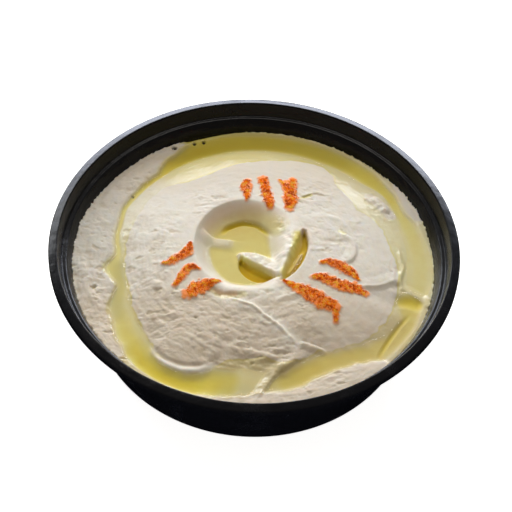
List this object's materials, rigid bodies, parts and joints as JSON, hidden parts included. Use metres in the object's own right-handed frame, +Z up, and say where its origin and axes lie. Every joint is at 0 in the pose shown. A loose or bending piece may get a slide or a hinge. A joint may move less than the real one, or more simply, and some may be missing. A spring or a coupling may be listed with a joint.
{
  "type": "hummus in a bowl",
  "caption": "Hummus in a round black deli bowl: a mound with a spooned well, pools of olive oil round it and in the well, and streaks of paprika.",
  "frame": {"origin": "centre of the bowl's foot, on the surface it stands on", "axes": "+Z up out of the bowl, +Y to the back of the dish, +X to its right; the paprika streaks lie at the back, left and right"},
  "size_m": [0.159, 0.159, 0.042],
  "materials": {
    "bowl": "smooth glossy black polypropylene",
    "hummus": "moist cream-white chickpea paste, softly glossy, with orange-red ground paprika in streaks",
    "oil": "clear yellow-green olive oil, darker where it is deep"
  },
  "bodies": {
    "root": {"bowl": "bowl", "hummus": "hummus", "oil_moat": "oil", "oil_front_right": "oil", "oil_well": "oil", "oil_slit": "oil"}
  },
  "joints": []
}
